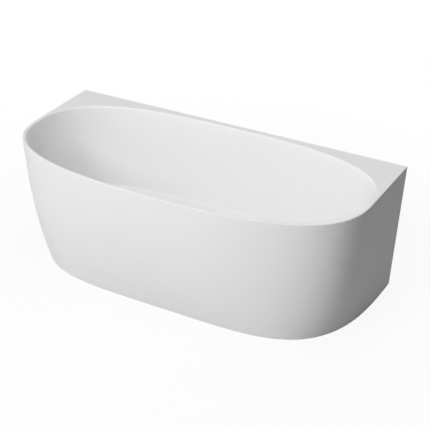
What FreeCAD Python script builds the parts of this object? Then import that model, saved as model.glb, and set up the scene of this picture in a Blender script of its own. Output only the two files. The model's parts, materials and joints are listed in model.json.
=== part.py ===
import FreeCAD, Part
import math
import os

# Back-to-wall bathtub: bathing shell, outer skirt, steel frame, levelling feet, waste and trap.
# Millimetres. X runs along the bath, Y points to the wall, Z is up.
# The origin is on the floor, in the middle of the bath's outline.

Vector = FreeCAD.Vector
UP = Vector(0, 0, 1)
TO_WALL = Vector(0, 1, 0)

# Overall size
LENGTH = 1500.0
DEPTH = 700.0
HEIGHT = 545.0

# Shells: the rim's front half follows the opening, its back is straight
RIM_WIDTH = 5.0
BACK_RIM_WIDTH = 22.5
LIP_RADIUS = 8.0
RIM_EDGE_RADIUS = 2.0
DECK_THICKNESS = 14.0
SHELL_WALL = 6.0
END_TAPER = 30.0
FRONT_TAPER = 84.0
SKIRT_SWELL = 2.7
RIM_POWERS = (2.77, 2.5)
FOOT_POWERS = (4.55, 3.12)

# Bathing well
FLOOR_HEIGHT = 180.0
OPENING_BACK_POWERS = (3.0, 2.4)
END_SLOPE = 97.0
FRONT_SLOPE = 57.0
BACK_SLOPE = 43.5
FLOOR_RADIUS = 5.0
FLOOR_FRONT_POWERS = (2.5, 2.8)
FLOOR_BACK_POWERS = (2.4, 6.0)

# Stiffeners
FOOT_RING_WIDTH = 25.0
FOOT_RING_HEIGHT = 25.0
BATTEN_THICKNESS = 16.0
BATTEN_HEIGHT = 40.0
BATTEN_END_GAP = 130.0
BOARD_THICKNESS = 15.0
BOARD_END_MARGIN = 120.0
BOARD_SIDE_MARGIN = 80.0
BOARD_CORNER_RADIUS = 90.0

# Steel frame
TUBE_SIZE = 30.0
TUBE_WALL = 2.0
RAIL_INSET = 50.0
RAIL_OVERHANG = 110.0
CROSS_INSET = 160.0
CROSS_OVERHANG = 15.0
MIDDLE_CROSS_X = 170.0
BRACKET_WIDTH = 40.0
BRACKET_THICKNESS = 4.0
BRACKET_SCREW_GAP = 15.0
BRACKET_RAIL_GAP = 1.0

# Fasteners
HOLE_GAP = 0.2
BOLT_RADIUS = 4.0
BOLT_HEAD_ACROSS = 13.0
BOLT_HEAD_HEIGHT = 5.0
BOLT_REACH = 8.0
SCREW_RADIUS = 2.5
SCREW_HEAD_RADIUS = 5.0
SCREW_HEAD_HEIGHT = 3.5
SCREW_BITE = 10.0
RAIL_SCREW_PITCH = 240.0
RAIL_SCREW_START = 80.0

# Levelling feet
STUD_RADIUS = 6.0
STUD_TOP_GAP = 9.0
STUD_GAP = 0.3
WELD_NUT_ACROSS = 19.0
WELD_NUT_HEIGHT = 10.0
PAD_RADIUS = 25.0
PAD_EDGE = 5.0
PAD_HEIGHT = 15.0
PAD_NECK_RADIUS = 12.0
PAD_SOCKET_FLOOR = 4.0
PAD_SOCKET_GAP = 0.1
FOOT_FROM_RAIL = 28.0

# Waste in the bathing floor
WASTE_X = 0.0
WASTE_Y = 0.0
TAIL_RADIUS = 23.0
TAIL_WALL = 3.5
TAIL_LENGTH = 48.0
FLANGE_RADIUS = 35.0
FLANGE_THICKNESS = 3.0
FLANGE_EDGE_RADIUS = 1.0
FLANGE_SEAL_THICKNESS = 2.0
FLANGE_SEAL_LIP = 2.0
SEAT_RADIUS = 28.0
SEAT_DEPTH = 1.5
FLOOR_HOLE_GAP = 1.5
THREAD_GAP = 0.3
LOWER_SEAL_THICKNESS = 3.0
LOWER_SEAL_WIDTH = 10.0
BACK_NUT_WIDTH = 9.0
BACK_NUT_HEIGHT = 10.0
BOARD_HOLE_GAP = 23.0
HUB_RADIUS = 11.0
HUB_HEIGHT = 12.0
HUB_DROP = 20.0
SPOKE_WIDTH = 4.0
SPOKE_COUNT = 3

# Click plug, drawn shut
CAP_RADIUS = 33.0
CAP_EDGE = 3.0
CAP_CROWN = 1.7
PLUG_SEAL_RADIUS = 26.0
PLUG_SEAL_THICKNESS = 3.0
PLUG_SEAL_LIFT = 0.3
BOSS_RADIUS = 10.0
BOSS_DROP = 5.8
STEM_RADIUS = 4.0
STEM_LENGTH = 41.0
STEM_GAP = 0.3
CARTRIDGE_RADIUS = 8.0
CARTRIDGE_COLLAR = 2.0
CARTRIDGE_COLLAR_HEIGHT = 3.0
CARTRIDGE_TOP = 3.0
CARTRIDGE_LENGTH = 40.0
CARTRIDGE_FLOOR = 5.0
SPRING_WIRE_RADIUS = 0.6
SPRING_RADIUS = 6.2
SPRING_TURNS = 4

# Trap under the waste
TRAP_CLEARANCE = 10.0
TRAP_WALL = 4.0
BOWL_RADIUS = 49.0
BOWL_HEIGHT = 28.0
BOWL_FLOOR = 5.0
BOWL_SEAT_HEIGHT = 12.0
BOWL_SEAL_THICKNESS = 4.0
HEAD_TOP_HEIGHT = 86.0
HEAD_TOP_THICKNESS = 6.0
DIP_RADIUS = 20.5
DIP_WALL = 2.5
DIP_END_HEIGHT = 18.0
INLET_COLLAR_HEIGHT = 5.0
INLET_WASHER_THICKNESS = 3.0
INLET_NUT_WALL = 6.0
INLET_NUT_LIP = 6.0
INLET_NUT_GRIP = 10.0
OUTLET_HEIGHT = 56.0
PIPE_RADIUS = 21.5
PIPE_WALL = 2.2
PIPE_INSERT_STEP = 0.8
PIPE_WALL_GAP = 5.0
PIPE_INSERT = 26.0
SOCKET_WALL = 4.3
SOCKET_REACH = 30.0
OUTLET_SEAL_THICKNESS = 2.0
SEAL_GAP = 0.1
OUTLET_NUT_WALL = 6.0
OUTLET_NUT_LIP = 4.0
OUTLET_NUT_GRIP = 18.0

# Curve sampling
OUTLINE_STEPS = 20
OVAL_STEPS = 14
SKIRT_LEVELS = 7
DENSE_STEPS = 800
BEHIND_WALL = 60.0
EDGE_STEPS = 4
NEAR = 0.01

# Places worked out from the sizes above
WALL_Y = DEPTH / 2
RIM_HALF = LENGTH / 2
RIM_FRONT = DEPTH / 2
OPENING_HALF = RIM_HALF - RIM_WIDTH - LIP_RADIUS
OPENING_FRONT = RIM_FRONT - RIM_WIDTH - LIP_RADIUS
OPENING_BACK = WALL_Y - BACK_RIM_WIDTH - LIP_RADIUS
FLOOR_HALF = OPENING_HALF - END_SLOPE
FLOOR_FRONT = OPENING_FRONT - FRONT_SLOPE
DECK_UNDERSIDE = HEIGHT - DECK_THICKNESS
FLOOR_UNDERSIDE = FLOOR_HEIGHT - SHELL_WALL
BOARD_UNDERSIDE = FLOOR_UNDERSIDE - BOARD_THICKNESS
BOARD_HALF = FLOOR_HALF - BOARD_END_MARGIN
BOARD_SIDE = FLOOR_FRONT - BOARD_SIDE_MARGIN
RAIL_UNDERSIDE = BOARD_UNDERSIDE - TUBE_SIZE
RAIL_Y = BOARD_SIDE - RAIL_INSET
RAIL_HALF = BOARD_HALF - CROSS_INSET + RAIL_OVERHANG
CROSS_UNDERSIDE = RAIL_UNDERSIDE - TUBE_SIZE
CROSS_X = BOARD_HALF - CROSS_INSET
FOOT_Y = RAIL_Y + FOOT_FROM_RAIL
CROSS_HALF = FOOT_Y + WELD_NUT_ACROSS / 2 + CROSS_OVERHANG
BRACKET_SCREW_Y = -FOOT_Y - BRACKET_SCREW_GAP
BRACKET_END_Y = -RAIL_Y - TUBE_SIZE / 2 - BRACKET_RAIL_GAP
BOLT_TIP = RAIL_UNDERSIDE + TUBE_WALL + BOLT_REACH
SCREW_TIP = BOARD_UNDERSIDE + SCREW_BITE
COS_30 = math.sqrt(3) / 2
CROSSES = {"left": -CROSS_X, "middle": MIDDLE_CROSS_X, "right": CROSS_X}
FEET = {
    "front_left": (-CROSS_X, -FOOT_Y),
    "rear_left": (-CROSS_X, FOOT_Y),
    "middle": (MIDDLE_CROSS_X, 0.0),
    "front_right": (CROSS_X, -FOOT_Y),
    "rear_right": (CROSS_X, FOOT_Y),
}
FLANGE_UNDERSIDE = FLOOR_HEIGHT + FLANGE_SEAL_THICKNESS
FLANGE_TOP = FLANGE_UNDERSIDE + FLANGE_THICKNESS
TAIL_END = FLOOR_HEIGHT - TAIL_LENGTH
TAIL_BORE = TAIL_RADIUS - TAIL_WALL
FLOOR_HOLE = TAIL_RADIUS + FLOOR_HOLE_GAP
BACK_NUT_TOP = FLOOR_UNDERSIDE - LOWER_SEAL_THICKNESS
BACK_NUT_RADIUS = TAIL_RADIUS + BACK_NUT_WIDTH
HUB_TOP = FLOOR_HEIGHT - HUB_DROP
CARTRIDGE_HEAD = HUB_TOP + CARTRIDGE_COLLAR_HEIGHT + CARTRIDGE_TOP
PLUG_SEAL_UNDERSIDE = FLANGE_TOP - SEAT_DEPTH + PLUG_SEAL_LIFT
CAP_UNDERSIDE = PLUG_SEAL_UNDERSIDE + PLUG_SEAL_THICKNESS
BOSS_END = CAP_UNDERSIDE - BOSS_DROP
INLET_COLLAR_TOP = TAIL_END - INLET_WASHER_THICKNESS
INLET_COLLAR_END = INLET_COLLAR_TOP - INLET_COLLAR_HEIGHT
BOWL_TOP = TRAP_CLEARANCE + BOWL_HEIGHT
BOWL_SEAT = TRAP_CLEARANCE + BOWL_SEAT_HEIGHT
HEAD_END = BOWL_SEAT + BOWL_SEAL_THICKNESS
HEAD_TOP = TRAP_CLEARANCE + HEAD_TOP_HEIGHT
HEAD_RADIUS = BOWL_RADIUS - TRAP_WALL - THREAD_GAP
OUTLET_Z = TRAP_CLEARANCE + OUTLET_HEIGHT
SPIGOT_RADIUS = PIPE_RADIUS - PIPE_INSERT_STEP
SOCKET_RADIUS = SPIGOT_RADIUS + SOCKET_WALL
SOCKET_END = WASTE_Y + HEAD_RADIUS + SOCKET_REACH
PIPE_START = SOCKET_END - PIPE_INSERT
PIPE_END = WALL_Y - PIPE_WALL_GAP
OUTLET_NUT_END = SOCKET_END + OUTLET_SEAL_THICKNESS + OUTLET_NUT_LIP

PARTS = {}


def box(low, high):
    """Box between two corners."""
    size = [b - a for a, b in zip(low, high)]
    return Part.makeBox(*size, Vector(*low))


def cylinder(radius, low, high, x=0.0, y=0.0):
    """Upright cylinder between two heights."""
    return Part.makeCylinder(radius, high - low, Vector(x, y, low), UP)


def ring(outer, inner, low, high, x=0.0, y=0.0):
    """Upright tube between two heights."""
    return cylinder(outer, low, high, x, y).cut(cylinder(inner, low, high, x, y))


def lying_cylinder(radius, near, far, x, z):
    """Cylinder along Y, towards the wall."""
    return Part.makeCylinder(radius, far - near, Vector(x, near, z), TO_WALL)


def lying_ring(outer, inner, near, far, x, z):
    """Tube along Y, towards the wall."""
    return lying_cylinder(outer, near, far, x, z).cut(lying_cylinder(inner, near, far, x, z))


def hexagon(across, low, high, x, y):
    """Upright hexagonal prism, by its width across flats."""
    corner = across / math.sqrt(3)
    points = []
    for i in range(7):
        angle = math.radians(60 * i)
        points.append(Vector(x + corner * math.cos(angle), y + corner * math.sin(angle), low))
    return Part.Face(Part.makePolygon(points)).extrude(Vector(0, 0, high - low))


def evenly(points, steps):
    """The same line in equal steps along its length."""
    lengths = [0.0]
    for (x0, y0), (x1, y1) in zip(points, points[1:]):
        lengths.append(lengths[-1] + math.hypot(x1 - x0, y1 - y0))
    spaced = []
    at = 0
    for i in range(steps + 1):
        target = lengths[-1] * i / steps
        while at < len(points) - 2 and lengths[at + 1] < target:
            at += 1
        share = (target - lengths[at]) / (lengths[at + 1] - lengths[at])
        share = min(max(share, 0.0), 1.0)
        (x0, y0), (x1, y1) = points[at], points[at + 1]
        spaced.append((x0 + (x1 - x0) * share, y0 + (y1 - y0) * share))
    return spaced


def quarter(half, depth, powers):
    """Quarter of a superellipse about the origin, from (half, 0) to (0, depth)."""
    points = []
    for i in range(DENSE_STEPS + 1):
        angle = math.pi / 2 * i / DENSE_STEPS
        x = half * math.cos(angle) ** (2 / powers[0])
        y = depth * math.sin(angle) ** (2 / powers[1])
        points.append((x, y))
    return points


def rim_outline(half, front):
    """Right half of the outline at rim height: straight end, then the oval's front."""
    curve = [(x, -y) for x, y in quarter(half, front, RIM_POWERS)]
    return evenly([(half, WALL_Y)] + curve, OUTLINE_STEPS)


def foot_outline(half, depth):
    """Right half of the outline at the floor: one full curve that starts at the wall."""
    curve = [(x, WALL_Y - y) for x, y in quarter(half, depth, FOOT_POWERS)]
    return evenly(curve, OUTLINE_STEPS)


def skirt_outline(drop, inset):
    """Right half of the skirt's outline; drop runs from 0 at the rim to 1 at the floor."""
    top = rim_outline(RIM_HALF - inset, RIM_FRONT - inset)
    straight = rim_outline(RIM_HALF - END_TAPER - inset, RIM_FRONT - END_TAPER - inset)
    foot = foot_outline(RIM_HALF - END_TAPER - inset, DEPTH - FRONT_TAPER - inset)
    swell = drop ** SKIRT_SWELL
    outline = []
    for (xt, yt), (xs, ys), (xf, yf) in zip(top, straight, foot):
        x = xt + (xs - xt) * drop + (xf - xs) * swell
        y = yt + (ys - yt) * drop + (yf - ys) * swell
        outline.append((x, y))
    return outline


def skirt_section(z, inset):
    """Closed wire of the skirt's outline at one height, set in by inset and carried on behind the wall."""
    half = skirt_outline(1 - z / HEIGHT, inset)
    half.insert(0, (half[0][0], WALL_Y + BEHIND_WALL))
    line = [(-x, y) for x, y in half] + half[-2::-1]
    points = [Vector(x, y, z) for x, y in line]
    curve = Part.BSplineCurve()
    curve.interpolate(Points=points, InitialTangent=-TO_WALL, FinalTangent=TO_WALL)
    return Part.Wire([curve.toShape(), Part.makeLine(points[-1], points[0])])


def skirt_volume(inset):
    """Solid inside the skirt's outer face, set in by inset."""
    heights = [HEIGHT * (1 - i / (SKIRT_LEVELS - 1)) for i in range(SKIRT_LEVELS)]
    return Part.makeLoft([skirt_section(z, inset) for z in heights], True, False)


def deck_volume():
    """Solid deck with its outer top edge rounded."""
    spring_line = HEIGHT - RIM_EDGE_RADIUS
    sections = []
    for i in range(EDGE_STEPS + 1):
        angle = math.pi / 2 * i / EDGE_STEPS
        z = spring_line + RIM_EDGE_RADIUS * math.sin(angle)
        sections.append(skirt_section(z, RIM_EDGE_RADIUS * (1 - math.cos(angle))))
    edge = Part.makeLoft(sections, True, False)
    side = Part.makeLoft([skirt_section(DECK_UNDERSIDE, 0.0), sections[0]], True, True)
    return side.fuse(edge)


def oval_wire(half, front, back, front_powers, back_powers, z):
    """Closed smooth oval with its own front and back, as a right and a left half."""
    rear = evenly(quarter(half, back, back_powers), OVAL_STEPS)
    fore = evenly(quarter(half, front, front_powers), OVAL_STEPS)
    right = [(x, -y) for x, y in fore[:0:-1]] + rear
    edges = []
    for side in (1, -1):
        points = [Vector(side * x, y, z) for x, y in right[::side]]
        outward = Vector(side, 0, 0)
        curve = Part.BSplineCurve()
        curve.interpolate(Points=points, InitialTangent=outward, FinalTangent=-outward)
        edges.append(curve.toShape())
    return Part.Wire(edges)


def well_volume(grow, top, bottom):
    """The bathing well between two heights, grown sideways by grow."""
    upper = oval_wire(*well_sizes(top, grow), RIM_POWERS, OPENING_BACK_POWERS, top)
    lower = oval_wire(*well_sizes(bottom, grow), FLOOR_FRONT_POWERS, FLOOR_BACK_POWERS, bottom)
    return Part.makeLoft([upper, lower], True, True)


def well_sizes(z, grow):
    """Half-length, front depth and back depth of the well at one height, grown sideways by grow."""
    drop = (HEIGHT - z) / (HEIGHT - FLOOR_HEIGHT)
    slopes = (END_SLOPE, FRONT_SLOPE, BACK_SLOPE)
    opening = (OPENING_HALF, OPENING_FRONT, OPENING_BACK)
    return [size - slope * drop + grow for size, slope in zip(opening, slopes)]


def edges_at(shape, z, reach):
    """Edges lying at one height that stay within reach of the middle, along X."""
    found = []
    for edge in shape.Edges:
        bounds = edge.BoundBox
        level = abs(bounds.ZMin - z) < NEAR and abs(bounds.ZMax - z) < NEAR
        if level and max(bounds.XMax, -bounds.XMin) < reach:
            found.append(edge)
    return found


def add(name, shape):
    """Keeps a finished piece under its name."""
    PARTS[name] = shape


def make_shells():
    """Bathing shell with its deck, and the skirt below it."""
    far = 2 * LENGTH
    in_room = box((-far, -far, -far), (far, WALL_Y, far))
    deck = deck_volume().common(in_room)
    bowl = well_volume(SHELL_WALL, HEIGHT - DECK_THICKNESS / 2, FLOOR_UNDERSIDE)
    bowl = bowl.makeFillet(FLOOR_RADIUS + SHELL_WALL, edges_at(bowl, FLOOR_UNDERSIDE, far))
    well = well_volume(0.0, HEIGHT, FLOOR_HEIGHT)
    well = well.makeFillet(FLOOR_RADIUS, edges_at(well, FLOOR_HEIGHT, far))
    basin = deck.fuse(bowl).cut(well)
    basin = basin.makeFillet(LIP_RADIUS, edges_at(basin, HEIGHT, OPENING_HALF + LIP_RADIUS))
    hole = cylinder(FLOOR_HOLE, 0, HEIGHT, WASTE_X, WASTE_Y)
    add("basin", basin.cut(hole))

    inner = skirt_volume(SHELL_WALL)
    below = box((-far, -far, -far), (far, WALL_Y, DECK_UNDERSIDE))
    add("outer_skirt", skirt_volume(0.0).common(below).cut(inner))

    core = skirt_volume(SHELL_WALL + FOOT_RING_WIDTH)
    slab = box((-far, -far, 0), (far, WALL_Y, FOOT_RING_HEIGHT))
    add("foot_ring", inner.common(slab).cut(core))
    return inner


def make_stiffeners():
    """Base board under the bathing floor, and the batten under the back of the deck."""
    board = box((-BOARD_HALF, -BOARD_SIDE, BOARD_UNDERSIDE), (BOARD_HALF, BOARD_SIDE, FLOOR_UNDERSIDE))
    upright = [e for e in board.Edges if e.BoundBox.ZLength > BOARD_THICKNESS / 2]
    board = board.makeFillet(BOARD_CORNER_RADIUS, upright)
    reach = BACK_NUT_RADIUS + BOARD_HOLE_GAP
    board = board.cut(cylinder(reach, BOARD_UNDERSIDE, FLOOR_UNDERSIDE, WASTE_X, WASTE_Y))
    for x, y in rail_screw_places():
        board = board.cut(cylinder(SCREW_RADIUS + HOLE_GAP, BOARD_UNDERSIDE, SCREW_TIP + HOLE_GAP, x, y))
    add("base_board", board)
    half = RIM_HALF - BATTEN_END_GAP
    low = (-half, WALL_Y - BATTEN_THICKNESS, DECK_UNDERSIDE - BATTEN_HEIGHT)
    add("rear_batten", box(low, (half, WALL_Y, DECK_UNDERSIDE)))


def rail_screw_places():
    """Where the rails are screwed up into the base board."""
    places = []
    for y in (-RAIL_Y, RAIL_Y):
        for side in (-1, 1):
            for i in range(2):
                places.append((side * (RAIL_SCREW_START + i * RAIL_SCREW_PITCH), y))
    return places


def square_tube(low, high, along):
    """Square steel tube, open at both ends along one axis (0 for X, 1 for Y)."""
    inner_low = [v + TUBE_WALL for v in low]
    inner_high = [v - TUBE_WALL for v in high]
    inner_low[along] = low[along]
    inner_high[along] = high[along]
    return box(low, high).cut(box(inner_low, inner_high))


def make_frame():
    """Two long rails under the base board and three cross members under the rails."""
    half = TUBE_SIZE / 2
    for name, y in (("rail_front", -RAIL_Y), ("rail_rear", RAIL_Y)):
        low = (-RAIL_HALF, y - half, RAIL_UNDERSIDE)
        rail = square_tube(low, (RAIL_HALF, y + half, BOARD_UNDERSIDE), 0)
        for sx, sy in rail_screw_places():
            if sy == y:
                rail = rail.cut(cylinder(SCREW_RADIUS + HOLE_GAP, RAIL_UNDERSIDE, BOARD_UNDERSIDE, sx, sy))
        for x in CROSSES.values():
            rail = rail.cut(cylinder(BOLT_RADIUS + HOLE_GAP, RAIL_UNDERSIDE, BOLT_TIP, x, y))
        add(name, rail)
    for side, x in CROSSES.items():
        low = (x - half, -CROSS_HALF, CROSS_UNDERSIDE)
        cross = square_tube(low, (x + half, CROSS_HALF, RAIL_UNDERSIDE), 1)
        for y in (-RAIL_Y, RAIL_Y):
            cross = cross.cut(cylinder(BOLT_RADIUS + HOLE_GAP, CROSS_UNDERSIDE, RAIL_UNDERSIDE, x, y))
        cross = cross.cut(Part.Compound(stud_holes(x)))
        add("cross_member_" + side, cross.cut(bracket_screw_hole(x)))


def stud_holes(x):
    """Clearance holes for the feet on one cross member, through all that lies above the nuts."""
    hole = STUD_RADIUS + STUD_GAP
    return [cylinder(hole, CROSS_UNDERSIDE, BOARD_UNDERSIDE, fx, fy) for fx, fy in FEET.values() if fx == x]


def bracket_screw_hole(x):
    """Clearance hole through a skirt bracket and the wall of the cross member under it."""
    top = RAIL_UNDERSIDE + BRACKET_THICKNESS
    return cylinder(SCREW_RADIUS + HOLE_GAP, RAIL_UNDERSIDE - TUBE_WALL, top, x, BRACKET_SCREW_Y)


def make_brackets(inside):
    """Flat bars on the cross members that reach forward to the skirt's inner face."""
    for side, x in CROSSES.items():
        half = BRACKET_WIDTH / 2
        low = (x - half, -DEPTH, RAIL_UNDERSIDE)
        bar = box(low, (x + half, BRACKET_END_Y, RAIL_UNDERSIDE + BRACKET_THICKNESS))
        bar = bar.common(inside).cut(Part.Compound(stud_holes(x)))
        add("skirt_bracket_" + side, bar.cut(bracket_screw_hole(x)))


def screw(x, y, seat, tip):
    """Round-headed screw; the shank runs from the seat to the tip, up or down."""
    way = 1 if tip > seat else -1
    shank = Part.makeCylinder(SCREW_RADIUS, abs(tip - seat), Vector(x, y, seat), UP * way)
    head = Part.makeCylinder(SCREW_HEAD_RADIUS, SCREW_HEAD_HEIGHT, Vector(x, y, seat), UP * -way)
    return shank.fuse(head)


def make_fasteners():
    """Screws and bolts of the frame, each kind as one group."""
    rail_screws = [screw(x, y, RAIL_UNDERSIDE, SCREW_TIP) for x, y in rail_screw_places()]
    add("rail_screws", Part.Compound(rail_screws))
    seat = RAIL_UNDERSIDE + BRACKET_THICKNESS
    bracket_screws = [screw(x, BRACKET_SCREW_Y, seat, seat - SCREW_BITE) for x in CROSSES.values()]
    add("bracket_screws", Part.Compound(bracket_screws))
    bolts = []
    for x in CROSSES.values():
        for y in (-RAIL_Y, RAIL_Y):
            head = hexagon(BOLT_HEAD_ACROSS, CROSS_UNDERSIDE - BOLT_HEAD_HEIGHT, CROSS_UNDERSIDE, x, y)
            bolts.append(head.fuse(cylinder(BOLT_RADIUS, CROSS_UNDERSIDE, BOLT_TIP - HOLE_GAP, x, y)))
    add("frame_bolts", Part.Compound(bolts))
    nuts = []
    for x, y in FEET.values():
        nut = hexagon(WELD_NUT_ACROSS, CROSS_UNDERSIDE - WELD_NUT_HEIGHT, CROSS_UNDERSIDE, x, y)
        nuts.append(nut.cut(cylinder(STUD_RADIUS + STUD_GAP, 0, CROSS_UNDERSIDE, x, y)))
    add("foot_nuts", Part.Compound(nuts))


def revolved(points, x, y):
    """Solid turned about an upright axis from (radius, height) points."""
    outline = Part.makePolygon([Vector(x + r, y, z) for r, z in points + points[:1]])
    return Part.Face(outline).revolve(Vector(x, y, 0), UP, 360)


def make_feet():
    """Five levelling feet: a threaded stud in a spreading pad."""
    socket = STUD_RADIUS + PAD_SOCKET_GAP
    for place, (x, y) in FEET.items():
        stud = cylinder(STUD_RADIUS, PAD_SOCKET_FLOOR, BOARD_UNDERSIDE - STUD_TOP_GAP, x, y)
        add("foot_stud_" + place, stud)
        pad = revolved(
            [
                (0, 0), (PAD_RADIUS, 0), (PAD_RADIUS, PAD_EDGE), (PAD_NECK_RADIUS, PAD_HEIGHT),
                (socket, PAD_HEIGHT), (socket, PAD_SOCKET_FLOOR), (0, PAD_SOCKET_FLOOR),
            ],
            x, y,
        )
        add("foot_pad_" + place, pad)


def make_waste():
    """Waste flange with its tail, the two seals and the nut that clamps them on the floor."""
    x, y = WASTE_X, WASTE_Y
    flange = cylinder(FLANGE_RADIUS, FLANGE_UNDERSIDE, FLANGE_TOP, x, y)
    edge = [e for e in flange.Edges if e.BoundBox.ZMin > FLANGE_TOP - NEAR]
    flange = flange.makeFillet(FLANGE_EDGE_RADIUS, edge)
    flange = flange.fuse(cylinder(TAIL_RADIUS, TAIL_END, FLANGE_UNDERSIDE, x, y))
    flange = flange.cut(cylinder(TAIL_BORE, TAIL_END, FLANGE_TOP, x, y))
    flange = flange.cut(cylinder(SEAT_RADIUS, FLANGE_TOP - SEAT_DEPTH, FLANGE_TOP, x, y))
    hub = cylinder(HUB_RADIUS, HUB_TOP - HUB_HEIGHT, HUB_TOP, x, y)
    reach = TAIL_BORE + TAIL_WALL / 2
    for i in range(SPOKE_COUNT):
        low = (0, -SPOKE_WIDTH / 2, HUB_TOP - HUB_HEIGHT)
        spoke = box(low, (reach, SPOKE_WIDTH / 2, HUB_TOP))
        spoke.rotate(Vector(0, 0, 0), UP, 90 + i * 360 / SPOKE_COUNT)
        spoke.translate(Vector(x, y, 0))
        hub = hub.fuse(spoke)
    bore = cylinder(CARTRIDGE_RADIUS + HOLE_GAP, HUB_TOP - HUB_HEIGHT, HUB_TOP, x, y)
    add("waste_flange", flange.fuse(hub.cut(bore)))

    loose = TAIL_RADIUS + THREAD_GAP
    rim = FLANGE_RADIUS - FLANGE_SEAL_LIP
    add("flange_seal", ring(rim, loose, FLOOR_HEIGHT, FLANGE_UNDERSIDE, x, y))
    add("lower_seal", ring(loose + LOWER_SEAL_WIDTH, loose, BACK_NUT_TOP, FLOOR_UNDERSIDE, x, y))
    nut = hexagon(2 * BACK_NUT_RADIUS * COS_30, BACK_NUT_TOP - BACK_NUT_HEIGHT, BACK_NUT_TOP, x, y)
    add("back_nut", nut.cut(cylinder(loose, BACK_NUT_TOP - BACK_NUT_HEIGHT, BACK_NUT_TOP, x, y)))


def make_plug():
    """Click plug: cap, seal and stem move together; the cartridge stays in the waste."""
    x, y = WASTE_X, WASTE_Y
    crown = CAP_UNDERSIDE + CAP_EDGE + CAP_CROWN
    dome_radius = (CAP_RADIUS ** 2 + CAP_CROWN ** 2) / (2 * CAP_CROWN)
    dome = Part.makeSphere(dome_radius, Vector(x, y, crown - dome_radius))
    cap = cylinder(CAP_RADIUS, CAP_UNDERSIDE, crown, x, y).common(dome)
    add("plug_cap", cap.fuse(cylinder(BOSS_RADIUS, BOSS_END, CAP_UNDERSIDE, x, y)))
    seal_bore = BOSS_RADIUS + HOLE_GAP
    add("plug_seal", ring(PLUG_SEAL_RADIUS, seal_bore, PLUG_SEAL_UNDERSIDE, CAP_UNDERSIDE, x, y))
    add("plug_stem", cylinder(STEM_RADIUS, BOSS_END - STEM_LENGTH, BOSS_END, x, y))

    bottom = CARTRIDGE_HEAD - CARTRIDGE_LENGTH
    body = cylinder(CARTRIDGE_RADIUS, bottom, CARTRIDGE_HEAD, x, y)
    collar = CARTRIDGE_RADIUS + CARTRIDGE_COLLAR
    body = body.fuse(cylinder(collar, HUB_TOP, HUB_TOP + CARTRIDGE_COLLAR_HEIGHT, x, y))
    bore = cylinder(STEM_RADIUS + STEM_GAP, bottom + CARTRIDGE_FLOOR, CARTRIDGE_HEAD, x, y)
    add("click_cartridge", body.cut(bore))

    low = CARTRIDGE_HEAD + SPRING_WIRE_RADIUS
    pitch = (BOSS_END - SPRING_WIRE_RADIUS - low) / SPRING_TURNS
    start, way = coil_point(pitch, 0)
    section = Part.Wire([Part.makeCircle(SPRING_WIRE_RADIUS, start, way)])
    spring = coil_path(pitch).makePipeShell([section], True, False)
    spring.translate(Vector(x, y, low))
    add("plug_spring", spring)


def coil_point(pitch, turn):
    """Point on the spring's helix after so many turns, and the direction it runs in there."""
    angle = 2 * math.pi * turn
    across = Vector(SPRING_RADIUS * math.cos(angle), SPRING_RADIUS * math.sin(angle), 0)
    way = UP.cross(across) * (2 * math.pi) + UP * pitch
    return across + UP * (pitch * turn), way.normalize()


def arc_round(start, corner, end):
    """Arc from start to end that leaves and arrives along the two equal legs of a corner."""
    middle = (start + end) * 0.5
    half = (end - start).Length / 2
    lift = half * math.tan(math.acos(half / (corner - start).Length) / 2)
    return Part.Arc(start, middle + (corner - middle).normalize() * lift, end).toShape()


def coil_path(pitch):
    """The spring's helix as two tangent arcs for each half turn."""
    edges = []
    for i in range(2 * SPRING_TURNS):
        start, way_out = coil_point(pitch, i / 2)
        end, way_in = coil_point(pitch, (i + 1) / 2)
        gap = end - start
        ways = way_out + way_in
        square = 4 - ways.dot(ways)
        run = gap.dot(ways)
        leg = (math.sqrt(run * run + square * gap.dot(gap)) - run) / square
        first = start + way_out * leg
        second = end - way_in * leg
        meeting = (first + second) * 0.5
        edges += [arc_round(start, first, meeting), arc_round(meeting, second, end)]
    return Part.Wire(edges)


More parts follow.
